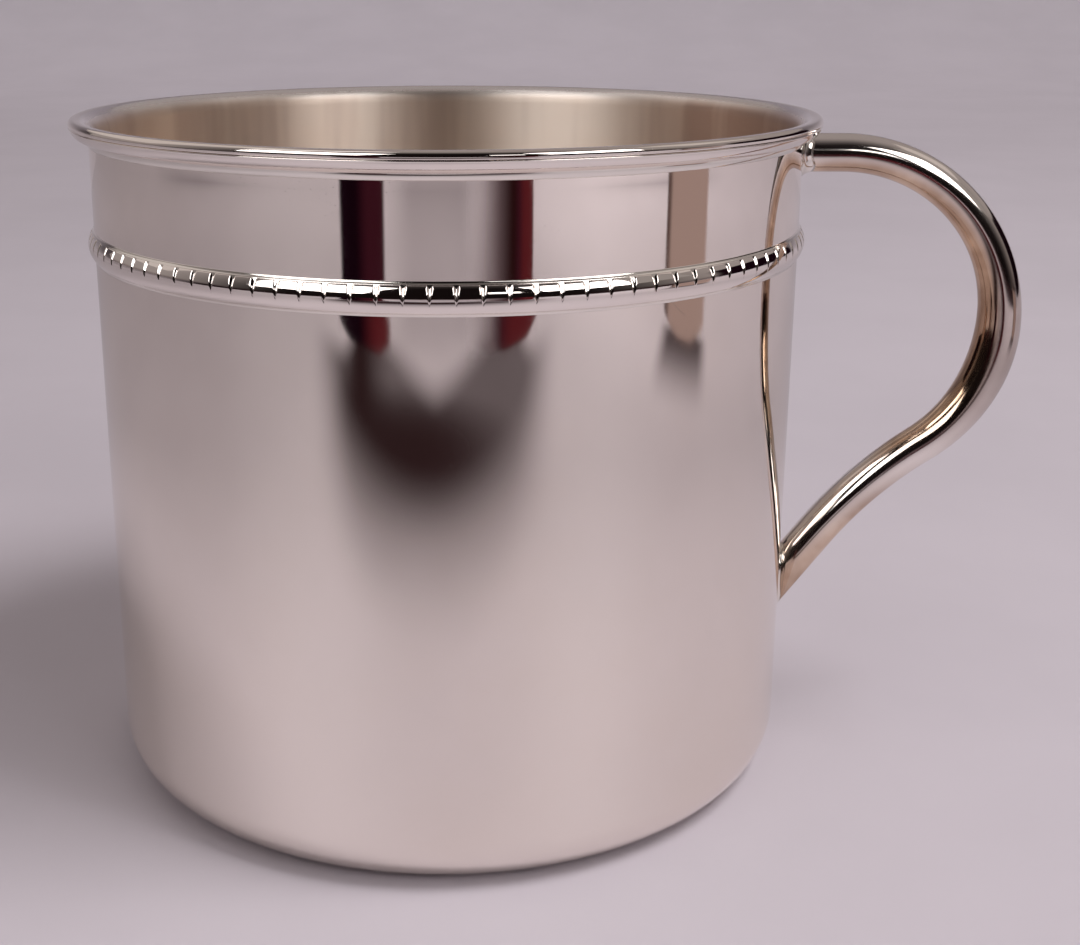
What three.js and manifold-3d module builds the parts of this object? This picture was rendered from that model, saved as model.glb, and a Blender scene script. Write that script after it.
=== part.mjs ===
// Silver baby cup: a drawn cup with a turned lip, a rim wire, a notched bead wire and a loop handle.
// Millimetres, +Z up. The origin is the middle of the flat base, and the handle points along +X.
import * as THREE from 'three';
import { mergeVertices } from 'three/addons/utils/BufferGeometryUtils.js';
import Module from 'manifold-3d';

const wasm = await Module();
wasm.setup();

const DEG = Math.PI / 180;

// Cup body, outside sizes
const cupHeight = 67;
const wallFootRadius = 35.0;
const wallSpread = 1.15;
const wallTopRadius = wallFootRadius + wallSpread;
const wallThickness = 0.8;
const baseThickness = 1.0;
const baseCornerRadius = 4.5;
const lipOverhang = 1.85;
const lipRadius = wallTopRadius + lipOverhang;
const lipBendRadius = 1.2;

// Round-faced wire that lies in the corner under the lip
const rimWireRadius = 1.5;
const rimWireCentreDrop = 0.5;
const rimWireBackEnd = 175 * DEG;
const rimWireHeel = 0.07;

// Bead wire: a half-round wire with V notches rolled across its crest, a little nearer the top edge
const beadWireDrop = 12.42;
const beadWireCentreHeight = cupHeight - beadWireDrop;
const beadWireHeight = 2.43;
const beadWireProud = 0.62;
const beadCount = 104;
const notchFoot = 0.6;
const notchTopInset = 0.33;
const notchTop = beadWireHeight - notchTopInset;
const notchFlank = 1.5;
const notchPhase = 1 * DEG;

// Loop handle, bent from round wire that is a little fuller at the outer bend
const handleWireRadius = 2.0;
const handleSwell = 0.15;
const handleSwellPlace = 0.54;
const handleSwellSpread = 0.13;
const handleTopDrop = 4.2;
const handleTopHeight = cupHeight - handleTopDrop;
const handleTopRun = 4.6;
const handleBendRadius = 17.0;
const handleBendAngle = 146.3 * DEG;
const handleLegBendRadius = 44.7;
const handleLegBendAngle = 18.6 * DEG;

// Silver solder: the film left between two soldered pieces, and the fillets that show
const solderFilm = 0.15;
const beadSeam = 0.2;
const beadFilletLeg = 0.3;
const rimFilletHeight = 0.5;
const rimFilletProud = 0.3;
const handleFilletLeg = 0.95;
const collarReach = 1.5;
const collarRise = 0.7;

// Facets
const stepsAround = 72;
const handleSides = 14;
const handleSteps = 54;

const silver = { color: 0xd9cfcd, roughness: 0.08, metalness: 1 };
const solderSilver = { color: 0xd8d2c8, roughness: 0.16, metalness: 1 };

// Shared geometry helpers

const point = (r, z) => new THREE.Vector2(r, z);

// Points on an arc in the profile plane, both ends included
function arcPoints(centre, radius, fromAngle, toAngle, steps) {
  const points = [];
  for (let i = 0; i <= steps; i += 1) {
    const angle = fromAngle + ((toAngle - fromAngle) * i) / steps;
    points.push(point(centre.x + radius * Math.cos(angle), centre.y + radius * Math.sin(angle)));
  }
  return points;
}

// Keeps only the positions and joins the shared corners, so that the shell is closed
function weld(geometry) {
  geometry.deleteAttribute('normal');
  geometry.deleteAttribute('uv');
  return mergeVertices(geometry, 1e-4);
}

// Revolves a profile round the cup's axis; a ring's profile is closed on itself
function revolve(profile, { ring = false, steps = stepsAround } = {}) {
  const points = ring ? [...profile, profile[0].clone()] : profile;
  const geometry = new THREE.LatheGeometry(points, steps);
  geometry.rotateX(Math.PI / 2);
  return weld(geometry);
}

function toSolid(geometry) {
  const mesh = new wasm.Mesh({
    numProp: 3,
    vertProperties: new Float32Array(geometry.attributes.position.array),
    triVerts: new Uint32Array(geometry.index.array),
  });
  return new wasm.Manifold(mesh);
}

function fromSolid(solid) {
  const mesh = solid.getMesh();
  const geometry = new THREE.BufferGeometry();
  geometry.setAttribute('position', new THREE.BufferAttribute(mesh.vertProperties, 3));
  geometry.setIndex(new THREE.BufferAttribute(mesh.triVerts, 1));
  return geometry;
}

// Turns the faces of a closed shell outwards when its profile was drawn the other way round
function facingOut(geometry) {
  const position = geometry.attributes.position;
  const index = geometry.index.array;
  const corner = [new THREE.Vector3(), new THREE.Vector3(), new THREE.Vector3()];
  let volume = 0;
  for (let i = 0; i < index.length; i += 3) {
    corner.forEach((v, k) => v.fromBufferAttribute(position, index[i + k]));
    volume += corner[0].dot(corner[1].clone().cross(corner[2]));
  }
  if (volume < 0) {
    for (let i = 0; i < index.length; i += 3) {
      const second = index[i + 1];
      index[i + 1] = index[i + 2];
      index[i + 2] = second;
    }
  }
  return geometry;
}

function piece(name, geometry, material) {
  const mesh = new THREE.Mesh(facingOut(geometry), new THREE.MeshStandardMaterial(material));
  mesh.name = name;
  return mesh;
}

// Lip: the sheet turns outwards through a right angle, and its edge is filed round
const edgeRadius = wallThickness / 2;
const lipBendStart = cupHeight - wallThickness - lipBendRadius;
const lipBendCentre = point(wallTopRadius + lipBendRadius, lipBendStart);
const wallRadius = (z) => wallFootRadius + ((wallTopRadius - wallFootRadius) * z) / lipBendStart;

// Outer face of the cup below the lip, from the base to the bend
function outerWall() {
  const cornerCentre = point(wallRadius(baseCornerRadius) - baseCornerRadius, baseCornerRadius);
  return [
    ...arcPoints(cornerCentre, baseCornerRadius, -90 * DEG, 0, 7),
    point(wallRadius(lipBendStart * 0.5), lipBendStart * 0.5),
  ];
}

function cupBody() {
  const innerBend = lipBendRadius + wallThickness;
  const innerCorner = baseCornerRadius - wallThickness;
  const edgeCentre = point(lipRadius - edgeRadius, cupHeight - edgeRadius);
  const innerCornerCentre = point(
    wallRadius(baseCornerRadius) - baseCornerRadius,
    baseThickness + innerCorner,
  );
  const profile = [
    point(0, 0),
    ...outerWall(),
    ...arcPoints(lipBendCentre, lipBendRadius, 180 * DEG, 90 * DEG, 4),
    ...arcPoints(edgeCentre, edgeRadius, -90 * DEG, 90 * DEG, 6),
    ...arcPoints(lipBendCentre, innerBend, 90 * DEG, 180 * DEG, 6),
    ...arcPoints(innerCornerCentre, innerCorner, 0, -90 * DEG, 5),
    point(0, baseThickness),
  ];
  return revolve(profile);
}

// Rim wire: a round outer face, and a back that follows the bend and the underside of the lip
const rimWireCentre = point(lipRadius - rimWireRadius, cupHeight - rimWireCentreDrop);
const rimWireSkin = wallTopRadius + solderFilm;
const rimWireFoot = rimWireCentre.y - Math.sqrt(rimWireRadius ** 2 - (rimWireSkin - rimWireCentre.x) ** 2);
const rimWireBackRadius = lipBendRadius - solderFilm;

function rimWireSection() {
  const underLip = cupHeight - wallThickness - solderFilm;
  const footAngle = -Math.acos((rimWireSkin - rimWireCentre.x) / rimWireRadius);
  const topAngle = Math.asin((underLip - rimWireCentre.y) / rimWireRadius);
  const heel = rimWireFoot + rimWireHeel - lipBendStart;
  const backEnd = Math.min(rimWireBackEnd, 180 * DEG - Math.asin(heel / rimWireBackRadius));
  return [
    ...arcPoints(rimWireCentre, rimWireRadius, footAngle, topAngle, 7),
    ...arcPoints(lipBendCentre, rimWireBackRadius, 90 * DEG, backEnd, 4),
  ];
}

// Solder fillet between the rim wire's lower edge and the wall
const rimSolderTop = rimWireFoot - solderFilm;
const rimSolderFoot = rimSolderTop - rimFilletHeight;

function rimSolderSection() {
  const skin = (z, proud) => point(wallRadius(z) + solderFilm + proud, z);
  const middle = (rimSolderTop + rimSolderFoot) / 2;
  return [
    skin(rimSolderFoot, 0),
    skin(rimSolderFoot, rimFilletProud * 0.25),
    skin(middle, rimFilletProud * 0.8),
    skin(rimSolderTop, rimFilletProud),
    skin(rimSolderTop, 0),
  ];
}

// Bead wire section: a segment of a circle standing off the wall by the seam
const beadWireFoot = beadWireCentreHeight - beadWireHeight / 2;
const crestRise = beadWireProud - beadSeam;
const crownRadius = (crestRise ** 2 + (beadWireHeight / 2) ** 2) / (2 * crestRise);

// How far the crown of the wire stands out from the wall, at a height above its lower edge
function crownProud(height) {
  const offMiddle = height - beadWireHeight / 2;
  return beadWireProud - crownRadius + Math.sqrt(crownRadius ** 2 - offMiddle ** 2);
}

// Depth of a notch: its floor is the straight line from its foot to its top, below the round crown
function notchDepth(height) {
  const share = (height - notchFoot) / (notchTop - notchFoot);
  if (share <= 0 || share >= 1) return 0;
  return crownProud(height) - (crownProud(notchFoot) * (1 - share) + crownProud(notchTop) * share);
}

// A revolved wire whose columns are moved: each notch has a floor line and a shoulder on either side
function beadWire() {
  const back = beadSeam - 0.04;
  const notchRows = [0, 0.25, 0.5, 0.75, 1].map((share) => notchFoot + share * (notchTop - notchFoot));
  const crown = [0, ...notchRows, beadWireHeight].map((height) => ({ height, proud: crownProud(height) }));
  const outline = [{ height: 0, proud: back }, ...crown, { height: beadWireHeight, proud: back }];
  const section = outline.map(({ height, proud }) => {
    const z = beadWireFoot + height;
    return point(wallRadius(z) + proud, z);
  });
  const columns = beadCount * 3;
  const geometry = new THREE.LatheGeometry([...section, section[0].clone()], columns);
  geometry.rotateX(Math.PI / 2);
  const position = geometry.attributes.position;
  const rows = section.length + 1;
  const pitch = (2 * Math.PI) / beadCount;
  const leastHalfWidth = 0.06;
  for (let column = 0; column <= columns; column += 1) {
    const bead = Math.floor((column % columns) / 3);
    const side = (column % 3) - 1;
    for (let row = 0; row < rows; row += 1) {
      const face = section[row % section.length];
      const depth = notchDepth(outline[row % section.length].height);
      const halfWidth = leastHalfWidth + notchFlank * depth;
      const angle = notchPhase + bead * pitch + (side * halfWidth) / face.x;
      const radius = side === 0 ? face.x - depth : face.x;
      position.setXYZ(column * rows + row, radius * Math.cos(angle), radius * Math.sin(angle), face.y);
    }
  }
  return weld(geometry);
}

// Solder that fills the seam behind the bead wire and shows as a hairline fillet along both its edges
function beadSolderSection() {
  const edgeGap = 0.06;
  const foot = beadWireFoot - edgeGap;
  const top = beadWireFoot + beadWireHeight + edgeGap;
  const back = 0.05;
  const front = 0.11;
  const skin = (z, proud) => point(wallRadius(z) + proud, z);
  return [
    skin(foot - beadFilletLeg, back),
    skin(foot - beadFilletLeg * 0.35, back + beadFilletLeg * 0.4),
    skin(foot, back + beadFilletLeg),
    skin(foot, front),
    skin(top, front),
    skin(top, back + beadFilletLeg),
    skin(top + beadFilletLeg * 0.35, back + beadFilletLeg * 0.4),
    skin(top + beadFilletLeg, back),
  ];
}

// Handle centre line in the XZ plane: a short run out, the round bend, a slack reverse bend, and the leg
const handleBendStart = point(wallTopRadius + handleTopRun, handleTopHeight);
const handleBendCentre = point(handleBendStart.x, handleBendStart.y - handleBendRadius);
const handleBendEnd = point(
  handleBendCentre.x + handleBendRadius * Math.sin(handleBendAngle),
  handleBendCentre.y + handleBendRadius * Math.cos(handleBendAngle),
);
const legCentre = point(
  handleBendEnd.x + handleLegBendRadius * Math.sin(handleBendAngle),
  handleBendEnd.y + handleLegBendRadius * Math.cos(handleBendAngle),
);
const legHeading = handleBendAngle - handleLegBendAngle;
const legBendEnd = point(
  legCentre.x - handleLegBendRadius * Math.sin(legHeading),
  legCentre.y - handleLegBendRadius * Math.cos(legHeading),
);
const legDirection = point(Math.cos(legHeading), -Math.sin(legHeading));
const legLength = (legBendEnd.x - wallRadius(legBendEnd.y * 0.75)) / -legDirection.x;
const legFoot = legBendEnd.clone().addScaledVector(legDirection, legLength);
const cutAllowance = handleWireRadius * 1.6;

class HandleLine extends THREE.Curve {
  constructor() {
    super();
    this.runLength = handleTopRun + cutAllowance;
    this.bendLength = handleBendRadius * handleBendAngle;
    this.legBendLength = handleLegBendRadius * handleLegBendAngle;
    this.legLength = legLength + cutAllowance;
    this.total = this.runLength + this.bendLength + this.legBendLength + this.legLength;
  }

  getPoint(t, target = new THREE.Vector3()) {
    let along = t * this.total;
    if (along < this.runLength) {
      return target.set(handleBendStart.x - this.runLength + along, 0, handleTopHeight);
    }
    along -= this.runLength;
    if (along < this.bendLength) {
      const turn = along / handleBendRadius;
      const x = handleBendCentre.x + handleBendRadius * Math.sin(turn);
      return target.set(x, 0, handleBendCentre.y + handleBendRadius * Math.cos(turn));
    }
    along -= this.bendLength;
    if (along < this.legBendLength) {
      const heading = handleBendAngle - along / handleLegBendRadius;
      const x = legCentre.x - handleLegBendRadius * Math.sin(heading);
      return target.set(x, 0, legCentre.y - handleLegBendRadius * Math.cos(heading));
    }
    along -= this.legBendLength;
    return target.set(legBendEnd.x + legDirection.x * along, 0, legBendEnd.y + legDirection.y * along);
  }
}

const handleLine = new HandleLine();

function handleRadiusAt(t) {
  const away = (t - handleSwellPlace) / handleSwellSpread;
  return handleWireRadius * (1 + handleSwell * Math.exp(-away * away));
}

// Round wire along the centre line; each ring of its skin is then scaled to the swell
function handleWire() {
  const section = new THREE.Shape();
  for (let i = 0; i < handleSides; i += 1) {
    const angle = (i * 2 * Math.PI) / handleSides;
    const corner = point(handleWireRadius * Math.cos(angle), handleWireRadius * Math.sin(angle));
    if (i === 0) section.moveTo(corner.x, corner.y);
    else section.lineTo(corner.x, corner.y);
  }
  section.closePath();
  const geometry = weld(
    new THREE.ExtrudeGeometry(section, { steps: handleSteps, extrudePath: handleLine, curveSegments: 1 }),
  );
  const centres = [];
  for (let i = 0; i <= handleSteps; i += 1) {
    centres.push({ t: i / handleSteps, at: handleLine.getPointAt(i / handleSteps) });
  }
  const position = geometry.attributes.position;
  const vertex = new THREE.Vector3();
  for (let i = 0; i < position.count; i += 1) {
    vertex.fromBufferAttribute(position, i);
    const nearest = centres.reduce((best, c) => {
      return c.at.distanceToSquared(vertex) < best.at.distanceToSquared(vertex) ? c : best;
    });
    const scale = handleRadiusAt(nearest.t) / handleWireRadius;
    vertex.sub(nearest.at).multiplyScalar(scale).add(nearest.at);
    position.setXYZ(i, vertex.x, vertex.y, vertex.z);
  }
  return toSolid(facingOut(geometry));
}

// Everything that the handle has to be cut back from: the cup with its rim wire, grown by a clearance
function cupEnvelope(clearance) {
  const below = rimSolderFoot - clearance;
  const outside = 1;
  const fillet = wallRadius(rimSolderTop) + solderFilm + rimFilletProud;
  const profile = [
    point(0, -outside),
    point(wallFootRadius + clearance, -outside),
    point(wallRadius(below) + clearance, below),
    point(fillet - rimFilletProud * 0.2 + clearance, below + 0.05),
    point(fillet + clearance, rimSolderTop - clearance),
    ...arcPoints(rimWireCentre, rimWireRadius + clearance, -75 * DEG, 0, 6),
    point(lipRadius + clearance, cupHeight + outside),
    point(0, cupHeight + outside),
  ];
  return toSolid(facingOut(revolve(profile)));
}

// Upper joint: a hollow-cheeked collar of solder round the wire, against the rim wire and the wall
function upperSolder(foot, envelope) {
  const wireSkin = handleWireRadius + solderFilm;
  const reach = lipRadius - wallTopRadius + collarReach;
  const [barStart, barEnd] = [-2 * cutAllowance, 2 * reach];
  const bar = [point(0, barStart), point(wireSkin, barStart), point(wireSkin, barEnd), point(0, barEnd)];
  const profile = [point(0, -cutAllowance), point(wireSkin + collarRise, -cutAllowance)];
  const cheekSteps = 6;
  const leastRise = 0.12;
  const cheekStart = 0.3 * reach;
  for (let i = 0; i <= cheekSteps; i += 1) {
    const share = i / cheekSteps;
    const rise = leastRise + collarRise * (1 - Math.sin(share * 90 * DEG));
    profile.push(point(wireSkin + rise, cheekStart + (reach - cheekStart) * share));
  }
  profile.push(point(0, reach));
  const [collar, wire] = [profile, bar].map((outline) => {
    const geometry = revolve(outline, { steps: 28 });
    geometry.rotateY(90 * DEG);
    geometry.translate(foot.x, 0, foot.y);
    return toSolid(facingOut(geometry));
  });
  return fromSolid(collar.subtract(envelope).subtract(wire));
}

// Lower joint: a fillet that follows the slanted seam where the round wire meets the round wall
function lowerSolder() {
  const steps = 36;
  const wireSkin = handleWireRadius + solderFilm;
  const alongWire = new THREE.Vector3(-legDirection.x, 0, -legDirection.y);
  const inPlane = new THREE.Vector3(-alongWire.z, 0, alongWire.x);
  const section = [point(1, 0), point(2, 0), point(1.3, 0.3), point(1, 1)];
  const geometry = new THREE.LatheGeometry([...section, section[0].clone()], steps);
  const position = geometry.attributes.position;
  const rows = section.length + 1;
  for (let column = 0; column <= steps; column += 1) {
    const angle = ((column % steps) * 360 * DEG) / steps;
    const outward = inPlane.clone().multiplyScalar(Math.cos(angle)).setY(Math.sin(angle));
    const start = new THREE.Vector3(legFoot.x, 0, legFoot.y).addScaledVector(outward, wireSkin);
    const seam = start.clone();
    for (let i = 0; i < 6; i += 1) {
      const gap = wallRadius(seam.z) + solderFilm - Math.hypot(seam.x, seam.y);
      seam.addScaledVector(alongWire, gap / alongWire.x);
    }
    const normal = new THREE.Vector3(seam.x, seam.y, 0).normalize();
    const away = outward.clone().addScaledVector(normal, -outward.dot(normal)).normalize();
    for (let row = 0; row < rows; row += 1) {
      const corner = section[row % section.length];
      const vertex = seam.clone();
      vertex.addScaledVector(away, (corner.x - 1) * handleFilletLeg);
      vertex.addScaledVector(alongWire, corner.y * handleFilletLeg);
      if (corner.y < 0.5) {
        const lift = wallRadius(vertex.z) + solderFilm + corner.y * handleFilletLeg;
        const scale = lift / Math.hypot(vertex.x, vertex.y);
        vertex.x *= scale;
        vertex.y *= scale;
      }
      position.setXYZ(column * rows + row, vertex.x, vertex.y, vertex.z);
    }
  }
  return weld(geometry);
}

const envelope = cupEnvelope(solderFilm);

const cup = new THREE.Group();
cup.add(piece('cup_body', cupBody(), silver));
cup.add(piece('rim_wire', revolve(rimWireSection(), { ring: true }), silver));
cup.add(piece('rim_solder', revolve(rimSolderSection(), { ring: true }), solderSilver));
cup.add(piece('bead_wire', beadWire(), silver));
cup.add(piece('bead_solder', revolve(beadSolderSection(), { ring: true }), solderSilver));
cup.add(piece('handle', fromSolid(handleWire().subtract(envelope)), silver));
cup.add(piece(
  'handle_upper_solder',
  upperSolder(point(wallTopRadius, handleTopHeight), envelope),
  solderSilver,
));
cup.add(piece('handle_lower_solder', lowerSolder(), solderSilver));

export default cup;
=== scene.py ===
# %% [markdown]
# # A silver baby cup
# This notebook dresses a small polished silver cup for a photograph. The plain engineering model
# gives every piece its place and size. Here each piece is made again with a fine, smooth surface,
# because polished silver shows its surroundings, and a flat facet that would pass unseen on wood
# or cloth breaks up a reflection at once.

# %% Start: the frame
import math

import bmesh
import bpy
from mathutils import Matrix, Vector


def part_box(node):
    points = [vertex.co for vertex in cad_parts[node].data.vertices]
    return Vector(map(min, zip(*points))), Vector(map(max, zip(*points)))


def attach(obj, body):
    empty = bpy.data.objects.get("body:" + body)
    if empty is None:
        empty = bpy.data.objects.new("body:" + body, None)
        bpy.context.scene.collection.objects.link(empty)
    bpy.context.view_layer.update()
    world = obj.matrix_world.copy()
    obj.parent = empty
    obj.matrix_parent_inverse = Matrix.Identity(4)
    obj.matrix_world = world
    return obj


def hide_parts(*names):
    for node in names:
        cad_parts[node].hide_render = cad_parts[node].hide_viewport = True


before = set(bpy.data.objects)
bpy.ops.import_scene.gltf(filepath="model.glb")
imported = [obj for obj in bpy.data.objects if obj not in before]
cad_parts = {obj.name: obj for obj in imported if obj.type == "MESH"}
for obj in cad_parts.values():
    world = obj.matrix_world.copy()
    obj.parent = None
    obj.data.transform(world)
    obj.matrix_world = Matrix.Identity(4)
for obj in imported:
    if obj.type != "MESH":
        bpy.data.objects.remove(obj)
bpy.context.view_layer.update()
MM = 0.001
DEG = math.pi / 180

# %% [markdown]
# ## The sheet: its sizes
# The cup was drawn from one round of sheet silver: a flat base, a soft corner, a wall that widens
# a little towards the top, and a lip that turns outwards. The height and the lip are read from the
# frame. All other pieces take their place from the wall, so its outline is written first, as one
# function from height to radius. Sizes are in millimetres.

# %% Sizes
_, body_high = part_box("cup_body")
LIP_RADIUS = body_high.x / MM
HEIGHT = round(body_high.z / MM, 2)
SHEET = 0.8
BASE = 1.0
FOOT_RADIUS = 35.0
TOP_RADIUS = 36.15
CORNER = 4.5
EDGE = 0.5
LIP_BEND = 1.2
LIP_START = HEIGHT - SHEET - LIP_BEND
LIP_CENTRE = (TOP_RADIUS + LIP_BEND, LIP_START)


def wall(z):
    """Outer radius of the wall at a height."""
    return FOOT_RADIUS + (TOP_RADIUS - FOOT_RADIUS) * z / LIP_START


print("the lip starts to turn at", round(LIP_START, 2), "mm")

# %% [markdown]
# ## Helpers for round pieces
# Almost everything on a cup is round, so one helper turns an outline round the axis. The outline
# is a list of (radius, height) points. Many points and many steps are used: the shading of a
# mirror is only as smooth as the mesh below it.

# %% Helpers: arcs and straight lines
def arc(centre, radius, start, end, steps):
    """Points on an arc, both ends included."""
    turns = [start + (end - start) * i / steps for i in range(steps + 1)]
    return [(centre[0] + radius * math.cos(t), centre[1] + radius * math.sin(t)) for t in turns]


def between(a, b, steps):
    """Points on a straight line from a towards b, without b."""
    wide, tall = b[0] - a[0], b[1] - a[1]
    return [(a[0] + wide * i / steps, a[1] + tall * i / steps) for i in range(steps)]


print("the lip turns", round(LIP_RADIUS - TOP_RADIUS, 2), "mm out from the wall")

# %% Helper: an outline turned round the axis
ROUND_STEPS = 288


def faces_round(columns, count, closed=True):
    """Faces between neighbouring columns of points, where the last column meets the first."""
    faces = []
    for i in range(columns):
        j = (i + 1) % columns
        for k in range(count if closed else count - 1):
            n = (k + 1) % count
            faces.append((i * count + k, j * count + k, j * count + n, i * count + n))
    return faces


def turned(outline, closed=True):
    """Corners and faces of an outline turned round the cup's axis; a ring's outline is closed."""
    corners = []
    for i in range(ROUND_STEPS):
        a = 2 * math.pi * i / ROUND_STEPS
        corners += [(r * math.cos(a), r * math.sin(a), z) for r, z in outline]
    return corners, faces_round(ROUND_STEPS, len(outline), closed)


print("one step round the lip is", round(2 * math.pi * LIP_RADIUS / ROUND_STEPS, 2), "mm")

# %% Helper: a piece of the cup
WELD = 0.0001


def make_piece(name, corners, faces, stands_for, slot):
    """A smooth mesh object from points in millimetres, riding on the cup."""
    mesh = bpy.data.meshes.new(name)
    mesh.from_pydata([[v * MM for v in c] for c in corners], [], faces)
    mesh.validate()
    bm = bmesh.new()
    bm.from_mesh(mesh)
    bmesh.ops.remove_doubles(bm, verts=bm.verts, dist=WELD * MM)
    bmesh.ops.recalc_face_normals(bm, faces=bm.faces)
    bm.to_mesh(mesh)
    bm.free()
    mesh.shade_smooth()
    piece = bpy.data.objects.new(name, mesh)
    bpy.context.collection.objects.link(piece)
    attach(piece, "root")
    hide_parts(stands_for)
    return piece


print("points nearer than", WELD, "mm become one")

# %% [markdown]
# ## The cup body
# The outline starts at the middle of the base, goes round the corner, up the wall, over the lip
# and back down the inside. The edge of the lip is filed round, so that it is kind to a small
# mouth, and only its underside is left flat, where it lies on the rim wire.

# %% Body
def body_outline():
    """Base, corner, wall, lip and inside in one line, from the axis and back to it."""
    quarter = math.pi / 2
    corner_centre = (wall(CORNER) - CORNER, CORNER)
    inner_corner = CORNER - SHEET
    inner_centre = (corner_centre[0], BASE + inner_corner)
    edge_centre = (LIP_RADIUS - EDGE, HEIGHT - EDGE)
    flat_start = (LIP_CENTRE[0] + 0.2, HEIGHT - SHEET)
    outline = between((0.0, 0.0), (corner_centre[0], 0.0), 10)
    outline += arc(corner_centre, CORNER, -quarter, 0, 24)
    outline += between((wall(CORNER + 1), CORNER + 1), (TOP_RADIUS, LIP_START), 40)
    outline += arc(LIP_CENTRE, LIP_BEND, 2 * quarter, quarter, 14)
    outline += [flat_start] + arc(edge_centre, EDGE, -30 * DEG, quarter, 18)
    outline += arc(LIP_CENTRE, LIP_BEND + SHEET, quarter, 2 * quarter, 24)
    top_inside = (TOP_RADIUS - SHEET, LIP_START)
    foot_inside = (inner_centre[0] + inner_corner, inner_centre[1])
    outline += between(top_inside, foot_inside, 40)[1:]
    outline += arc(inner_centre, inner_corner, 0, -quarter, 20)
    outline += between((inner_centre[0], BASE), (0.0, BASE), 10)[1:]
    return outline + [(0.0, BASE)]


body_shape = turned(body_outline(), closed=False)
body = make_piece("body_sheet", *body_shape, "cup_body", "polished_silver")
print("the body has", len(body.data.polygons), "faces")

# %% [markdown]
# ## The rim wire and its solder
# A wire with a round face lies in the corner under the lip. It stiffens the edge and hides the
# turn of the sheet. Between the two a fine dark seam is left, and below the wire the solder leaves
# a narrow band against the wall.

# %% Rim wire
RIM_WIRE = 1.5
RIM_DROP = 0.5
RIM_CENTRE = (LIP_RADIUS - RIM_WIRE, HEIGHT - RIM_DROP)
RIM_FOOT = RIM_CENTRE[1] - RIM_WIRE


def rim_wire_outline():
    """The wire's round face, a small round shoulder under the lip, and a back inside the sheet."""
    face_end, shoulder = -16 * DEG, 0.08
    shoulder_centre = (LIP_RADIUS - 0.12, HEIGHT - SHEET - shoulder)
    outline = arc(RIM_CENTRE, RIM_WIRE, -100 * DEG, face_end, 26)
    outline += arc(shoulder_centre, shoulder, face_end, 90 * DEG, 5)
    return outline + arc(LIP_CENTRE, LIP_BEND + 0.3, 80 * DEG, 170 * DEG, 8)


rim = make_piece("rim_wire_round", *turned(rim_wire_outline()), "rim_wire", "polished_silver")
print("the rim wire's foot is at", round(RIM_FOOT, 2), "mm")

# %% Solder under the rim wire
BACK = 0.1
RIM_BAND, RIM_FILLET = 0.7, 0.3


def rim_solder_outline():
    """A band that swells out towards the wire, with its hidden back inside the wall's face."""
    top = RIM_FOOT + 0.06
    foot = top - RIM_BAND
    steps = 12
    face = []
    for k in range(steps + 1):
        out = RIM_FILLET * (1 - (1 - k / steps) ** 2.2)
        face.append((wall(foot) + out, foot + (top - foot) * k / steps))
    return face + [(wall(top) - BACK, top), (wall(foot) - BACK, foot)]


rim_run_shape = turned(rim_solder_outline())
rim_run = make_piece("rim_solder_run", *rim_run_shape, "rim_solder", "silver_solder")
print("the solder under the rim wire is", RIM_BAND, "mm wide")

# %% [markdown]
# ## The bead wire
# A half-round wire runs round the wall below the lip. V notches are rolled across its crest, so
# that it reads as a row of oblong beads. The wheel that presses them leans on the upper edge, so a
# notch is wide and deep there and fades out before it reaches the lower edge. Each notch is a
# formula: its depth depends on the height on the wire and on the distance from its middle line.

# %% Bead wire: its sizes
BEADS = 104
BEAD_PHASE = 1 * DEG
BEAD_MIDDLE, BEAD_TALL = 54.58, 2.43
BEAD_FOOT = BEAD_MIDDLE - BEAD_TALL / 2
BEAD_PROUD, BEAD_SEAM = 0.62, 0.2
RISE = BEAD_PROUD - BEAD_SEAM
CROWN = (RISE**2 + (BEAD_TALL / 2) ** 2) / (2 * RISE)
print("the bead wire's crown has a radius of", round(CROWN, 2), "mm")

# %% Bead wire: one notch
NOTCH_LOW, NOTCH_FULL, NOTCH_DEEP = 0.7, 2.15, 0.21
NOTCH_FLOOR, NOTCH_SPREAD = 0.045, 1.15


def bead_notch(height, off):
    """Depth of the notch: it starts on the crest and deepens in a straight line to the top edge."""
    share = (height - NOTCH_LOW) / (NOTCH_FULL - NOTCH_LOW)
    deep = NOTCH_DEEP * min(1.0, max(0.0, share))
    near = max(0.0, 1 - abs(off) / (NOTCH_FLOOR + NOTCH_SPREAD * deep))
    return deep * near * (0.55 + 0.45 * near * (3 - 2 * near))


print("a notch is", round(bead_notch(BEAD_TALL / 2, 0), 3), "mm deep at mid height")

# %% Bead wire: the notched surface
def bead_section():
    """Points (out from the wall, height) on the plain wire: its round face and its flat back."""
    tilt = math.asin(BEAD_TALL / 2 / CROWN)
    rows = 30
    section = []
    for k in range(rows + 1):
        t = -tilt + 2 * tilt * k / rows
        out = BEAD_PROUD - CROWN + CROWN * math.cos(t)
        section.append((out, BEAD_TALL / 2 + CROWN * math.sin(t)))
    return section + [(-BACK, BEAD_TALL), (-BACK, 0.0)]


def bead_surface():
    """The section, repeated round the wall in columns that crowd together in each notch."""
    section = bead_section()
    crowded = [0.25 * k / 12 * (0.4 + 0.6 * abs(k) / 12) for k in range(-12, 13)]
    offsets = [-0.5, -0.34] + crowded + [0.34]
    pitch = 2 * math.pi / BEADS
    corners = []
    for b in range(BEADS):
        for o in offsets:
            a = BEAD_PHASE + pitch * (b + o)
            for proud, height in section:
                r = wall(BEAD_FOOT + height) + proud
                if proud > 0:
                    r -= bead_notch(height, pitch * o * r)
                corners.append((r * math.cos(a), r * math.sin(a), BEAD_FOOT + height))
    return corners, faces_round(BEADS * len(offsets), len(section))


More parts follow.
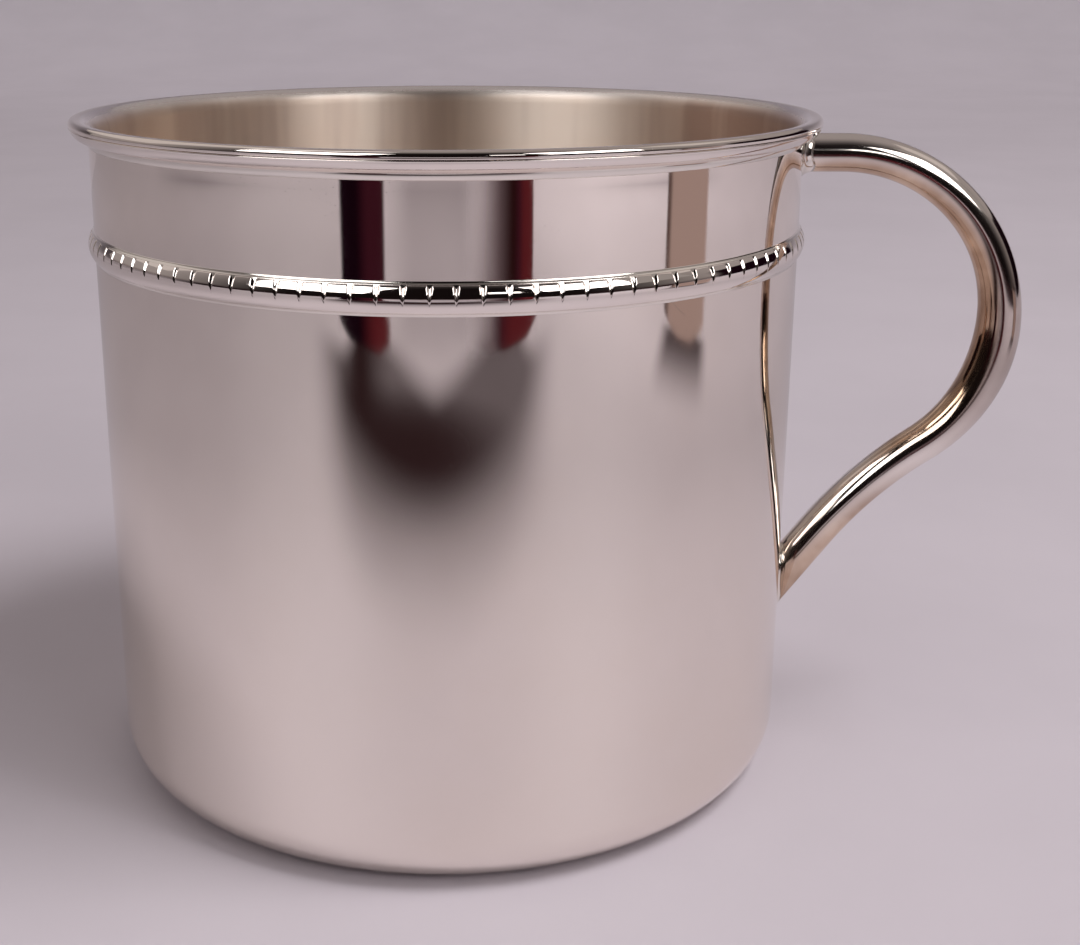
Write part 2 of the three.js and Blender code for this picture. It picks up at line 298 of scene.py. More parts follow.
beads = make_piece("bead_wire_notched", *bead_surface(), "bead_wire", "polished_silver")
print("the bead wire has", len(beads.data.polygons), "faces for", BEADS, "notches")

# %% Solder behind the bead wire
def bead_solder_outline():
    """The filled seam behind the wire, with a hairline fillet along both of its edges."""
    foot, top = BEAD_FOOT, BEAD_FOOT + BEAD_TALL
    leg, steps = 0.3, [0, 0.06, 0.12, 0.18, 0.24, 0.3]
    up = [(wall(top + h) + BEAD_SEAM * (1 - h / leg) ** 2, top + h) for h in steps]
    down = [(wall(foot - h) + BEAD_SEAM * (1 - h / leg) ** 2, foot - h) for h in reversed(steps)]
    back = [(wall(top + leg) - BACK, top + leg), (wall(foot - leg) - BACK, foot - leg)]
    return down + up + back


bead_run_shape = turned(bead_solder_outline())
bead_run = make_piece("bead_solder_run", *bead_run_shape, "bead_solder", "silver_solder")
print("its solder has", len(bead_run.data.polygons), "faces")

# %% [markdown]
# ## The handle
# The handle is one length of round wire. It leaves the wall under the lip, turns through a round
# bend, slackens the other way and comes back to the wall low down. It is slightly fuller where a
# finger pulls on it. Both ends are cut to the shape they meet, so the last ring of the mesh is
# pushed along the wire until each of its points lies in the wall.

# %% Handle: the round bend and the slack leg
WIRE = 2.0
TOP_Z = 62.8
RUN = 4.6
BEND, BEND_TURN = 17.0, 146.3 * DEG
LEG, LEG_TURN = 44.7, 18.6 * DEG


def around(centre, radius, turn):
    """The point (x, z) at a radius from a centre, where a turn of 0 is straight up."""
    return (centre[0] + radius * math.sin(turn), centre[1] + radius * math.cos(turn))


def facing(turn):
    """The heading (dx, dz) of a wire that left the wall level and has turned down so far."""
    return (math.cos(turn), -math.sin(turn))


bend_centre = (TOP_RADIUS + RUN, TOP_Z - BEND)
bend_end = around(bend_centre, BEND, BEND_TURN)
leg_centre = around(bend_end, LEG, BEND_TURN)
end_turn = BEND_TURN - LEG_TURN
leg_end = around(leg_centre, -LEG, end_turn)
leg_way = facing(end_turn)
print("the leg ends at height", round(leg_end[1], 1), "mm")

# %% Handle: its middle line
def handle_line():
    """Points (x, z) and headings (dx, dz) along the middle of the wire, wall to wall."""
    start, tail = 1.2, 2.4
    line = [((TOP_RADIUS + start + (RUN - start) * k / 6, TOP_Z), (1.0, 0.0)) for k in range(6)]
    for k in range(73):
        t = BEND_TURN * k / 72
        line.append((around(bend_centre, BEND, t), facing(t)))
    for k in range(1, 25):
        t = BEND_TURN - LEG_TURN * k / 24
        line.append((around(leg_centre, -LEG, t), facing(t)))
    for k in range(1, 5):
        s = tail * k / 4
        line.append(((leg_end[0] + leg_way[0] * s, leg_end[1] + leg_way[1] * s), leg_way))
    return line


print("the middle line has", len(handle_line()), "points")

# %% Handle: its surface
END_SINK = 0.3
FULLER, FULL_AT, FULL_SPREAD = 0.15, 0.54, 0.13


def to_wall(start, way, sink):
    """Moves a point along a heading until it lies the given depth inside the wall's face."""
    at = Vector(start)
    for _ in range(8):
        gap = wall(at.z) - sink - math.hypot(at.x, at.y)
        at = at + Vector(way) * (gap / way[0])
    return at


def handle_surface(sides=56):
    """Rings round the middle line, fuller at the bend, between two ends that follow the wall."""
    line = handle_line()
    lengths = [0.0]
    for (a, _), (b, _) in zip(line, line[1:]):
        lengths.append(lengths[-1] + math.dist(a, b))
    corners = []
    for (at, way), s in zip(line, lengths):
        away = (s / lengths[-1] - FULL_AT) / FULL_SPREAD
        radius = WIRE * (1 + FULLER * math.exp(-away * away))
        for k in range(sides):
            a = 2 * math.pi * k / sides
            side, up = radius * math.sin(a), radius * math.cos(a)
            corners.append((at[0] - way[1] * up, side, at[1] + way[0] * up))
    first = [to_wall(c, (-1.0, 0.0, 0.0), END_SINK) for c in corners[:sides]]
    last = [to_wall(c, (leg_way[0], 0.0, leg_way[1]), END_SINK) for c in corners[-sides:]]
    corners = [tuple(c) for c in first] + corners + [tuple(c) for c in last]
    rings = len(corners) // sides
    faces = []
    for i in range(rings - 1):
        for k in range(sides):
            n = (k + 1) % sides
            faces.append((i * sides + k, i * sides + n, (i + 1) * sides + n, (i + 1) * sides + k))
    faces.append(tuple(range(sides)))
    faces.append(tuple(range((rings - 1) * sides, rings * sides)))
    return corners, faces


handle = make_piece("handle_loop", *handle_surface(), "handle", "polished_silver")
reach = max(v.co.x for v in handle.data.vertices) / MM
print("the handle reaches", round(reach, 1), "mm from the axis")

# %% [markdown]
# ## The solder joints of the handle
# Hard solder draws itself into the corner between two pieces and sets with a hollow face. At the
# lower end the seam is a slanted oval, because a round wire meets a round wall at an angle. Each
# point of the seam is found first, and the hollow face is then drawn between a point on the wall
# and a point on the wire.

# %% Helper: a fillet along a slanted seam
HOLLOW = 0.8
FILM = 0.01


def seam_fillet(base, way, leg, wavy, steps=72, cheeks=8):
    """A hollow-faced fillet along the seam between the handle's end and the wall."""
    out_way = Vector(way)
    across = Vector((-out_way.z, 0, out_way.x))
    corners = []
    for i in range(steps):
        a = 2 * math.pi * i / steps
        outward = across * math.cos(a) + Vector((0, math.sin(a), 0))
        seam = to_wall(Vector(base) + outward * WIRE, out_way, 0.0)
        normal = Vector((seam.x, seam.y, 0)).normalized()
        away = (outward - normal * outward.dot(normal)).normalized()
        size = leg * (1 + wavy * math.sin(2 * a + 0.8) + wavy * 0.6 * math.sin(5 * a))
        on_wire = seam + out_way * size
        on_wall = seam + away * size
        scale = (wall(on_wall.z) + FILM) / math.hypot(on_wall.x, on_wall.y)
        on_wall = Vector((on_wall.x * scale, on_wall.y * scale, on_wall.z))
        for k in range(cheeks + 1):
            t = k / cheeks
            pull = 2 * t * (1 - t)
            ends = on_wall * ((1 - t) ** 2) + on_wire * (t**2)
            middle = (on_wall + on_wire) * 0.5 * (pull * (1 - HOLLOW))
            corners.append(tuple(ends + seam * (pull * HOLLOW) + middle))
        inside = seam - normal * 0.25 - outward * 0.3
        corners.append(tuple(inside))
    return corners, faces_round(steps, cheeks + 2)


print("a fillet's face is drawn", HOLLOW, "of the way into its corner")

# %% Lower and upper joints
low_way = (-leg_way[0], 0.0, -leg_way[1])
low_shape = seam_fillet((leg_end[0], 0, leg_end[1]), low_way, 0.95, wavy=0.12)
low_joint = make_piece("solder_low", *low_shape, "handle_lower_solder", "silver_solder")
high_shape = seam_fillet((TOP_RADIUS + 1, 0, TOP_Z), (1.0, 0.0, 0.0), 1.5, wavy=0.1)
high_joint = make_piece("solder_high", *high_shape, "handle_upper_solder", "silver_solder")
print("both joints are closed rings of", len(low_joint.data.vertices), "points")

# %% [markdown]
# ## A way to write finishes as plain sums
# A finish is a tree of nodes. A small class wraps each socket, so that the arithmetic of a finish
# reads like arithmetic, and any other node comes from one method. The room's light is a tree of
# nodes too, so the method belongs to a class of its own, and a finish adds its shader to that.

# %% Helper: a value in a tree of nodes
class Value:
    """A node's output that can be added, multiplied and so on."""

    def __init__(self, home, socket):
        self.home, self.socket = home, socket

    def sum(self, operation, *values):
        settings = {"operation": operation}
        return self.home.node("ShaderNodeMath", settings, dict(enumerate(values)))

    def __add__(self, other):
        return self.sum("ADD", self, other)

    def __sub__(self, other):
        return self.sum("SUBTRACT", self, other)

    def __rsub__(self, other):
        return self.sum("SUBTRACT", other, self)

    def __mul__(self, other):
        return self.sum("MULTIPLY", self, other)

    def __truediv__(self, other):
        return self.sum("DIVIDE", self, other)

    def __pow__(self, other):
        return self.sum("POWER", self, other)

    __radd__ = __add__
    __rmul__ = __mul__

    def size(self):
        return self.sum("ABSOLUTE", self)

    def at_most(self, other):
        return self.sum("MINIMUM", self, other)

    def ramp(self, low, high):
        """0 below low, 1 above high, and smooth between them."""
        settings = {"interpolation_type": "SMOOTHSTEP"}
        ends = {0: self, 1: low, 2: high, 3: 0.0, 4: 1.0}
        return self.home.node("ShaderNodeMapRange", settings, ends)


print("a sum of values adds one node for each of its signs")

# %% Helper: a tree of nodes
class Nodes:
    """A tree of nodes, with one method that adds any node to it."""

    def __init__(self, tree):
        self.tree = tree

    def node(self, kind, settings, values, output=0):
        """Adds a node. Its settings come first, then a number, a colour or a link per socket."""
        made = self.tree.nodes.new(kind)
        for key, value in settings.items():
            setattr(made, key, value)
        for key, value in values.items():
            if isinstance(value, Value):
                self.tree.links.new(value.socket, made.inputs[key])
            else:
                made.inputs[key].default_value = value
        return Value(self, made.outputs[output])

    def parts(self, vector):
        outputs = self.node("ShaderNodeSeparateXYZ", {}, {0: vector}).socket.node.outputs
        return [Value(self, outputs[i]) for i in range(3)]

    def point(self, x, y, z):
        return self.node("ShaderNodeCombineXYZ", {}, {0: x, 1: y, 2: z})

    def noise(self, where, scale, detail=2.0, roughness=0.5):
        values = {"Vector": where, "Scale": scale, "Detail": detail, "Roughness": roughness}
        return self.node("ShaderNodeTexNoise", {}, values, "Fac")

    def mix(self, share, a, b):
        return self.node("ShaderNodeMix", {"data_type": "RGBA"}, {0: share, 6: a, 7: b}, 2)

    def bump(self, height, distance, normal=None):
        values = {"Height": height, "Distance": distance, "Strength": 1.0}
        if normal:
            values["Normal"] = normal
        return self.node("ShaderNodeBump", {}, values)


print("a tree adds parts, points, noise, mixes and bumps through one method")

# %% Helper: a finish
class Finish(Nodes):
    """One material with a Principled shader, and the place of each point on the object."""

    def __init__(self, name, **constants):
        self.material = bpy.data.materials.new(name)
        self.material.use_nodes = True
        super().__init__(self.material.node_tree)
        self.shader = self.tree.nodes["Principled BSDF"]
        for socket, value in constants.items():
            self.shader.inputs[socket.replace("_", " ")].default_value = value
        self.place = self.node("ShaderNodeTexCoord", {}, {}, "Object")
        self.x, self.y, self.z = self.parts(self.place)

    def turn(self):
        """The angle round the cup's axis."""
        return self.y.sum("ARCTAN2", self.y, self.x)

    def feed(self, **values):
        for socket, value in values.items():
            self.tree.links.new(value.socket, self.shader.inputs[socket.replace("_", " ")])


print("the engineering model came with", len(bpy.data.materials), "plain materials")

# %% [markdown]
# ## Polished silver
# Silver is the whitest of metals, a touch warmer than chrome. In use it gathers hairline
# scratches, soft marks where it was held, and a thin warm tarnish in the corners that a polishing
# cloth can't reach. The sheet itself is never quite true: the hammer and the wheel leave long,
# shallow waves that bend every reflection a little.

# %% Outside finish
def polished(name, tint, rough, waves=1.0):
    """Silver with hairlines round the cup and on a slant, a thin film and long shallow waves."""
    f = Finish(name, Metallic=1.0)
    turn = f.turn()
    marks = f.noise(f.place, 90, 3, 0.6)
    smear = f.noise(f.point(f.x, f.y, f.z * 4.0), 60, 2)
    hair = f.noise(f.point(turn * 0.02, f.z, 0.0), 4200, 2, 0.7)
    slant = f.noise(f.point(f.x + f.z * 0.9, f.y * 0.06, f.z * 0.05), 3800, 1, 0.7)
    level = hair.ramp(0.66, 0.8) * smear.ramp(0.45, 0.75)
    scratch = level + slant.ramp(0.7, 0.85) * marks.ramp(0.5, 0.8)
    f.feed(Roughness=rough + marks.ramp(0.45, 0.8) * 0.03 + scratch * 0.12)
    wave = f.noise(f.point(turn * 0.03, 0.0, f.z * 0.5), 55, 1, 0.4)
    long = f.bump(wave, 0.00012 * waves)
    f.feed(Normal=f.bump(scratch, 0.0000015, long))
    film = f.noise(f.place, 45, 4, 0.6).ramp(0.35, 0.85)
    filmed = [tint[0] * 0.97, tint[1] * 0.945, tint[2] * 0.9, 1]
    f.feed(Base_Color=f.mix(film * 0.5, tint, filmed))
    return f


outside = polished("silver_polished", [0.89, 0.822, 0.762, 1], 0.04)
wire_finish = polished("silver_wire", [0.91, 0.85, 0.80, 1], 0.045, 0.3)
joint_finish = polished("silver_joint", [0.9, 0.86, 0.8, 1], 0.1, 0.2)
print("polished silver takes", len(outside.tree.nodes), "nodes")

# %% [markdown]
# ## The handle's finish
# The handle is polished too, but a cloth slides along its outer side and hardly touches its inner
# side. There a thin brown-gold film stays on. The film's place is worked out from the distance to
# the middle of the round bend, and from the side of the slack leg that faces down. The outer bend
# is painted darker, a painted dark reflection.

# %% Handle finish
def handled(name):
    """Polished silver, a film inside the bend and under the leg, and painted shade on the outer
    bend.
    """
    f = polished(name, [0.90, 0.84, 0.79, 1], 0.09, 0.3)
    x, z = f.x / MM, f.z / MM
    bend = ((x - bend_centre[0]) ** 2.0 + (z - bend_centre[1]) ** 2.0) ** 0.5
    inner = (1 - bend.ramp(BEND - 1.6, BEND + 0.2)) * bend.ramp(BEND - 3.2, BEND - 2.2)
    under = (x * 0.9 - z).ramp(11.5, 15.5) * (1 - z.ramp(24, 31))
    cloud = f.noise(f.place, 130, 3, 0.6)
    film = (inner * z.ramp(27, 34) + under * 0.8) * (0.7 + cloud * 0.6)
    # painted shade: the outer bend is darkened, a painted dark reflection
    outer_painted_shade = x.ramp(48, 54) * z.ramp(29, 37) * (1 - z.ramp(51, 58)) * (0.4 + cloud * 0.5)
    old = Value(f, f.shader.inputs["Base Color"].links[0].from_socket)
    gold, brown = [0.72, 0.53, 0.37, 1], [0.42, 0.27, 0.17, 1]
    tone = f.mix(cloud.ramp(0.35, 0.65), gold, brown)
    with_painted_shade = f.mix(outer_painted_shade, old, [0.46, 0.38, 0.34, 1])
    f.feed(Base_Color=f.mix(film.at_most(0.85), with_painted_shade, tone))
    return f


loop_finish = handled("silver_handle")
print("the handle's finish takes", len(loop_finish.tree.nodes), "nodes")

# %% [markdown]
# ## The inside
# The inside is finished on a lathe with a fine abrasive, which leaves rings too small to see one
# by one. They spread every highlight into a tall soft band, because light is scattered across the
# rings and hardly along them. The finish uses an anisotropic highlight with its direction taken
# round the axis, and a warmer colour than the outside. Brown bands stand in the wall, the side
# towards the handle is painted browner and darker as painted shade, and the lip is bright again.

# %% Inside finish
def brushed(name):
    """Silver brushed in rings, with brown bands that fade out on the floor and on the lip, and
    painted shade on the side towards the handle.
    """
    f = Finish(name, Metallic=1.0, Anisotropic=0.85, Anisotropic_Rotation=0.25)
    turn = f.turn()
    radius = (f.x * f.x + f.y * f.y) ** 0.5
    rings = f.noise(f.point(turn * 0.004, f.z + radius, 0.0), 5200, 3, 0.65)
    patches = f.noise(f.place, 60, 3)
    lip = (f.z / MM).ramp(LIP_START + 0.5, HEIGHT)
    f.feed(Roughness=(0.48 + rings * 0.1 + patches.ramp(0.4, 0.8) * 0.05) - lip * 0.36)
    warm, pale = [0.97, 0.825, 0.695, 1], [0.98, 0.875, 0.765, 1]
    bands = f.noise(f.point(turn * 5.0, 0.0, f.z * 9.0), 1.0, 3, 0.6).ramp(0.42, 0.66)
    standing = (f.z / MM).ramp(2, 16)
    # random brown bands, plus painted shade that darkens the side towards the handle (+x)
    brown = (bands * standing * 0.4 + (f.x / MM).ramp(14, 36) * 0.9).at_most(1.0) * (1 - lip)
    tone = f.mix(lip, f.mix(patches.ramp(0.3, 0.7), warm, pale), [0.98, 0.95, 0.93, 1])
    f.feed(Base_Color=f.mix(brown, tone, [0.54, 0.40, 0.33, 1]))
    f.feed(Normal=f.bump(rings, 0.000004))
    settings = {"direction_type": "RADIAL", "axis": "Z"}
    f.feed(Tangent=f.node("ShaderNodeTangent", settings, {}))
    return f


inside = brushed("silver_brushed")
print("the inside finish takes", len(inside.tree.nodes), "nodes")

# %% Which faces are inside
def on_inside(radius, z):
    """True for the middle of a face on the inner side of the sheet."""
    deep = 0.3
    corner_x = wall(CORNER) - CORNER
    if z > LIP_START:
        bend = math.hypot(z - LIP_CENTRE[1], radius - LIP_CENTRE[0])
        return bend > LIP_BEND + 0.5 and radius < LIP_CENTRE[0] - 0.5
    if z < CORNER and radius > corner_x:
        return math.hypot(radius - corner_x, z - CORNER) < CORNER - deep
    return z > BASE / 2 and radius < wall(z) - deep


body.data.materials.append(outside.material)
body.data.materials.append(inside.material)
for face in body.data.polygons:
    radius, z = math.hypot(face.center.x, face.center.y) / MM, face.center.z / MM
    face.material_index = int(on_inside(radius, z))
print("inside faces:", sum(p.material_index for p in body.data.polygons))

# %% Finishes of the other pieces
dressed = (
    (wire_finish, (rim, beads)),
    (loop_finish, (handle,)),
    (joint_finish, (rim_run, bead_run, low_joint, high_joint)),
)
for finish, pieces in dressed:
    for piece in pieces:
        piece.data.materials.append(finish.material)
    print(finish.material.name, "is on", [piece.name for piece in pieces])

# %% [markdown]
# ## The table
# Silver has hardly any colour of its own: it shows the room. The cup stands on a pale lilac-grey
# floor that runs up into a backdrop far behind it. The floor, the lamps, the cards and the pad
# that follow are only a stage, and none of them is part of the cup. The floor and the lamps are
# placed in metres, and the cards and the dark parts of the pad in millimetres, like the cup.

# %% Floor and backdrop
FLOOR_NEAR, FLOOR_FAR, FLOOR_SIDE = -0.62, 1.0, 2.2
SWEEP, BACKDROP_TOP = 0.6, 0.7

floor_finish = Finish("table_pale", Roughness=0.6)
grain = floor_finish.noise(floor_finish.place, 14, 4, 0.6)
darker, lighter = [0.595, 0.552, 0.60, 1], [0.625, 0.58, 0.63, 1]
floor_finish.feed(Base_Color=floor_finish.mix(grain.ramp(0.3, 0.7), darker, lighter))
floor_finish.feed(Roughness=0.55 + grain * 0.1)


def sweep_floor():
    """A floor that curves up into a backdrop a long way behind the cup."""
    turns = [math.pi / 2 * k / 16 for k in range(1, 17)]
    outline = [(FLOOR_NEAR, 0.0), (FLOOR_FAR, 0.0)]
    outline += [(FLOOR_FAR + SWEEP * math.sin(t), SWEEP - SWEEP * math.cos(t)) for t in turns]
    outline.append((FLOOR_FAR + SWEEP, BACKDROP_TOP))
    corners = [(x, y, z) for x in (-FLOOR_SIDE, FLOOR_SIDE) for y, z in outline]
    count = len(outline)
    faces = [(k, k + 1, count + k + 1, count + k) for k in range(count - 1)]
    mesh = bpy.data.meshes.new("table")
    mesh.from_pydata(corners, [], faces)
    mesh.shade_smooth()
    mesh.materials.append(floor_finish.material)
    floor = bpy.data.objects.new("table", mesh)
    bpy.context.collection.objects.link(floor)
    return floor


table = sweep_floor()
print("the floor and backdrop have", len(table.data.polygons), "faces")

# %% [markdown]
# ## The lamps
# A high lamp lights the table and a far one lights the backdrop. The metal sees neither, because a
# square of light in the wall of the cup would look like a patch. At each side two lamps share the
# work: one lights the table and lays the cup's shadow on it, and the other is mirrored as a long
# soft highlight. So the depth of the shadow and the strength of the highlight are set apart. The
# metal's lamp stands a little nearer, since two lamps in one plane would hide each other. Two
# small, weak lamps low at the right and over the left add short glints.

# %% Lamps
DAYLIGHT = (1.0, 0.965, 0.975)
CUP_MIDDLE = (0, 0, 0.03)
NEARER = 0.95


def lamp(name, place, size, power, aim=CUP_MIDDLE):
    """A soft rectangular lamp at a place, facing its aim."""
    data = bpy.data.lights.new(name, "AREA")
    data.shape = "RECTANGLE"
    data.size, data.size_y = size
    data.energy = power
    data.color = DAYLIGHT
    lit = bpy.data.objects.new(name, data)
    lit.location = place
    lit.rotation_mode = "QUATERNION"
    lit.rotation_quaternion = (Vector(aim) - Vector(place)).to_track_quat("-Z", "Y")
    bpy.context.collection.objects.link(lit)
    return lit


key = lamp("lamp_key", (0.52, -0.16, 0.95), (0.45, 0.45), 7.1)
far = lamp("lamp_far", (0, 1.35, 0.8), (2.8, 1.2), 4.6, aim=(0, 1.35, 0))
far.data.spread = 110 * DEG
for unseen in (key, far):
    unseen.visible_glossy = False
side_lamps = (
    ("right", (0.60, -0.571, 0.559), (0.46, 0.42), 2.0, 2.4),
    ("left", (-0.527, -0.628, 0.574), (0.61, 0.54), 1.0, 3.0),
)
for name, place, size, for_table, for_metal in side_lamps:
    lamp("lamp_" + name, place, size, for_table).visible_glossy = False
    lamp("shine_" + name, [v * NEARER for v in place], size, for_metal).visible_diffuse = False
lamp("lamp_right_low", (0.317, -0.871, 0.39), (0.16, 0.12), 0.15)
lamp("lamp_over_left", (-0.37, -0.06, 1.0), (0.3, 0.45), 0.3)
print("the stage has", len(bpy.data.lights), "lamps")

# %% [markdown]
# ## The cards
# Metal reads as polished when it mirrors dark lines with a clear edge. Upright cards in front of
# the cup and at its right are mirrored as bars in its wall, and the two in front have a small
# reddish foot each. Larger cards farther off keep the handle and the wires from going flat: a
# dark one low down, and pale and grey ones high up. Each card glows with its own tone and no lamp
# lights it, so what the metal mirrors of it is a painted reflection, and the pale and grey ones high
# up are painted light. Only the metal sees the cards. They are hidden from the lens and from the
# table, so they throw no shadow and tint nothing.

# %% Helper: one face for the metal alone
def for_metal_only(name, corners, finish):
    """A flat face with four corners, in metres, that is seen only in the metal."""
    mesh = bpy.data.meshes.new(name)
    mesh.from_pydata(corners, [], [(0, 1, 2, 3)])
    mesh.materials.append(finish.material)
    made = bpy.data.objects.new(name, mesh)
    bpy.context.collection.objects.link(made)
    made.visible_camera = False
    made.visible_shadow = False
    made.visible_diffuse = False
    return made


def matt(name, **constants):
    """A finish without any gloss."""
    return Finish(name, Roughness=1.0, Specular_IOR_Level=0.0, **constants)


print("so far there are", len(bpy.data.materials), "materials")

# %% Cards
# the tones below are glow colours of the cards: painted reflections that no lamp lights
BLACK, WINE, RED = [0.006, 0.0012, 0.0035, 1], [0.034, 0.006, 0.011, 1], [0.085, 0.011, 0.014, 1]
DUSK, EMBER = [0.12, 0.085, 0.095, 1], [0.018, 0.0045, 0.005, 1]
BROWN, TAN = [0.09, 0.055, 0.05, 1], [0.335, 0.235, 0.213, 1]
PALE, GREY = [0.56, 0.50, 0.48, 1], [0.30, 0.27, 0.26, 1]
BAR_TALL, FOOT_TALL, FOOT_LOW = 42, 9, -1.2
FOOT_BOW = 5.0


def card(name, left, right, height, tones, soft, turn=(0.35, 0.68), base=0.0):
    """An upright card from one place (x, y) to another, between the heights base and height. It
    glows with its tones as a painted reflection. Its tone shifts from left to right between the two
    shares of its width in turn, its left edge fades in over a soft share of it, and its lower edge
    is a shallow bow."""
    finish = matt(name, Base_Color=(0, 0, 0, 1), Emission_Strength=1.0)
    run = Vector((right[0] - left[0], right[1] - left[1]))
    along = ((finish.x / MM - left[0]) * (run.x / run.length_squared)
             + (finish.y / MM - left[1]) * (run.y / run.length_squared))
    finish.feed(Emission_Color=finish.mix(along.ramp(*turn), tones[0], tones[1]))
    foot = finish.z / MM - (along * 2.0 - 1) ** 2.0 * FOOT_BOW - base
    finish.feed(Alpha=along.ramp(0, soft) * (1 - along.ramp(0.93, 1.0)) * foot.ramp(-0.6, 0.8))
    corners = [(left, base), (right, base), (right, height), (left, height)]
    return for_metal_only(name, [(p[0] * MM, p[1] * MM, h * MM) for p, h in corners], finish)


cards = [
    card("card_left", (-103, -205), (-49, -205), BAR_TALL, (BLACK, WINE), 0.08),
    card("card_right", (30, -205), (102, -205), BAR_TALL, (DUSK, EMBER), 0.5),
    card("card_right_edge", (78, -204), (102, -204), BAR_TALL, (WINE, RED), 0.3, (0.2, 0.6)),
    card("foot_left", (-108, -204), (-44, -204), FOOT_TALL, (BLACK, RED), 0.1, (0.4, 0.8), FOOT_LOW),
    card("foot_right", (54, -203), (108, -203), FOOT_TALL, (WINE, RED), 0.3, (0.1, 0.5), FOOT_LOW),
    card("card_side", (207, -85), (207, -24), BAR_TALL, (BROWN, TAN), 0.04, (0.06, 0.16)),
    card("card_far_right", (650, -40), (650, 700), 250, (BLACK, BLACK), 0.1),
    card("card_back_left", (-1100, 0), (-550, 950), 1900, (PALE, PALE), 0.1, base=400),
    card("card_back_right", (1000, -100), (850, 600), 1500, (PALE, PALE), 0.1, base=700),
    card("card_side_high", (848, -530), (1000, -90), 1500, (GREY, GREY), 0.1, base=380),
]
print("the stage has", len(cards), "cards")

# %% [markdown]
# ## The pad
# Below the bars the wall of the cup mirrors the table. A painted shadow lies there, a dark heart
# with two arms, too soft and too round for a card, so a thin pad on the table gives it, with an
# alpha that is worked out from the place on the table. The pad is all painted shadow and shade. It
# has several dark parts, each with a share from 0 to 1. What they leave clear is multiplied, so
# where two parts overlap the pad never passes full dark.

# %% Pad
PAD_BACK, PAD_LIFT = 0.4, 0.0004


def painted_shadow_pad():
    """A painted soft shadow on the table in front of the cup, seen only by the metal."""
    finish = matt("pad_painted_shadow", Base_Color=(0.022, 0.0095, 0.0105, 1))
    x, y = finish.x / MM, finish.y / MM
    ahead = y * -1.0
    away = (x * x + y * y) ** 0.5
    # painted shadow: the heart and its arms, cut to shape by five soft edges,
    # darkest in the middle and at the left
    near = (y + 160 + (x + 4) ** 2.0 * 0.005).ramp(14, 84)
    flank = ((x + 4).size() + (y + 131) * 0.7).ramp(48, 102)
    opening = ((ahead - 178) * 1.5 - (x * x + 60) ** 0.5).ramp(-22, 32)
    end = ahead.ramp(176, 206) * x.size().ramp(80, 100)
    last = ahead.ramp(205, 235)
    heart = (((x + 20) / 55.0) ** 2.0 + ((y + 150) / 26.0) ** 2.0).ramp(0.0, 2.6)
    arm = (x + 62 - (y + 160) * 0.4).size().ramp(0, 34)
    deep = 0.99 - heart * arm * 0.23
    shadow_core = (1 - near) * (1 - flank) * (1 - opening) * (1 - end) * (1 - last) * deep
    # painted shade: a faint wedge between the two front bars,
    # and a painted shadow at the foot of the bar at the right
    gap = 1 - (x / y).size().ramp(0.1, 0.26)
    gap_shade = ahead.ramp(190, 240) * gap * (ahead.ramp(290, 460) * 0.25 + 0.2)
    foot_run = x.ramp(150, 209) * (1 - x.ramp(209, 215))
    side_foot_shadow = foot_run * (1 - (y + 54).size().ramp(20, 38)) * 0.92
    # painted shade: a faint shade all round the cup, and full dark at the far edge in front
    left_share = (x * -1.0).ramp(30, 150) * 0.12
    right_share = x.ramp(15, 60) * (1 - x.ramp(120, 200)) * 0.1
    shares = left_share + right_share + 0.14
    round_shade = away.ramp(60, 150) * (1 - away.ramp(270, 390) * 0.5) * shares
    front_edge_shade = away.ramp(400, 480) * (1 - (y / away).ramp(-0.35, 0.1))
    finish.feed(Alpha=1 - (1 - shadow_core) * (1 - gap_shade - round_shade) * (1 - side_foot_shadow) * (1 - front_edge_shade))
    near_edge = [(side, FLOOR_NEAR, PAD_LIFT) for side in (-FLOOR_SIDE, FLOOR_SIDE)]
    back_edge = [(side, PAD_BACK, PAD_LIFT) for side in (FLOOR_SIDE, -FLOOR_SIDE)]
    for_metal_only("pad_painted_shadow", near_edge + back_edge, finish)
    return finish


shadow_pad_finish = painted_shadow_pad()
print("the pad's finish takes", len(shadow_pad_finish.tree.nodes), "nodes")

# %% [markdown]
# ## The room
# Beyond the stage the metal mirrors a plain room: nearly black in front, grey behind, and a
# little paler high up than low down. Two mixes give the tone low down and high up, each by how far
# back a direction points, and a third blends them by how far it rises.

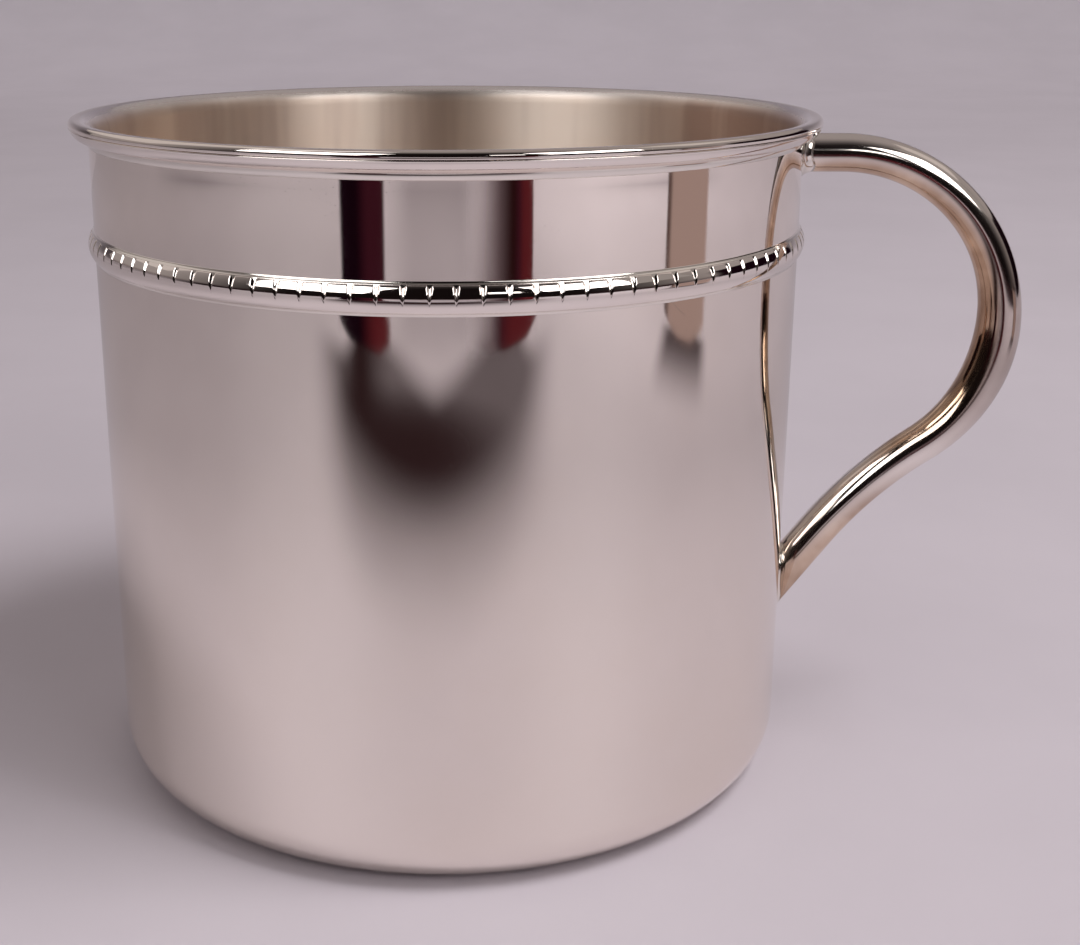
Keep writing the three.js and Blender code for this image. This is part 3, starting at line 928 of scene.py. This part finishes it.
# %% Room
NIGHT = [0.006, 0.004, 0.004, 1]
LOW_GREY, HIGH_GREY = [0.20, 0.165, 0.165, 1], [0.31, 0.272, 0.265, 1]

world = bpy.data.worlds.new("room")
world.use_nodes = True
bpy.context.scene.world = world
room = Nodes(world.node_tree)
_, back, rise = room.parts(room.node("ShaderNodeTexCoord", {}, {}, "Generated"))
backward = back.ramp(-0.75, 0.2)
low_tone = room.mix(backward, NIGHT, LOW_GREY)
high_tone = room.mix(backward, NIGHT, HIGH_GREY)
shade = room.mix(rise.ramp(-0.02, 0.1), low_tone, high_tone)
sky = room.tree.nodes["Background"]
sky.inputs["Strength"].default_value = 1.0
room.tree.links.new(shade.socket, sky.inputs["Color"])
print("the room takes", len(room.tree.nodes), "nodes")

# %% [markdown]
# ## The camera
# The photograph was taken from close by, a little above the lip, and slightly to the handle's
# side. Its place was worked out from the cup's ellipses: the lip, the bead wire and the base are
# all circles, and how much each one is flattened says where the lens was. The lens doesn't point
# at the middle of the picture, so the picture is shifted by the distance between the two.

# %% Camera
PHOTO_WIDE, PHOTO_TALL = 1080, 945
FOCAL_PIXELS = 1526.5
LENS_PIXEL = (490.77, 282.38)
SENSOR = 36

cam_data = bpy.data.cameras.new("camera")
camera = bpy.data.objects.new("camera", cam_data)
bpy.context.collection.objects.link(camera)
camera.location = (0.00966, -0.15798, 0.08032)
pitch, side = 11.245 * DEG, -1.895 * DEG
level = math.cos(pitch)
look = Vector((math.sin(side) * level, math.cos(side) * level, -math.sin(pitch)))
camera.rotation_mode = "QUATERNION"
camera.rotation_quaternion = look.to_track_quat("-Z", "Y")
cam_data.sensor_width = SENSOR
cam_data.lens = SENSOR * FOCAL_PIXELS / PHOTO_WIDE
cam_data.shift_x = (PHOTO_WIDE / 2 - LENS_PIXEL[0]) / PHOTO_WIDE
cam_data.shift_y = -(PHOTO_TALL / 2 - LENS_PIXEL[1]) / PHOTO_WIDE
cam_data.clip_start = 0.01
bpy.context.scene.camera = camera
bpy.context.scene.view_settings.view_transform = "Standard"
print("the lens has a focal length of", round(cam_data.lens, 1), "mm")
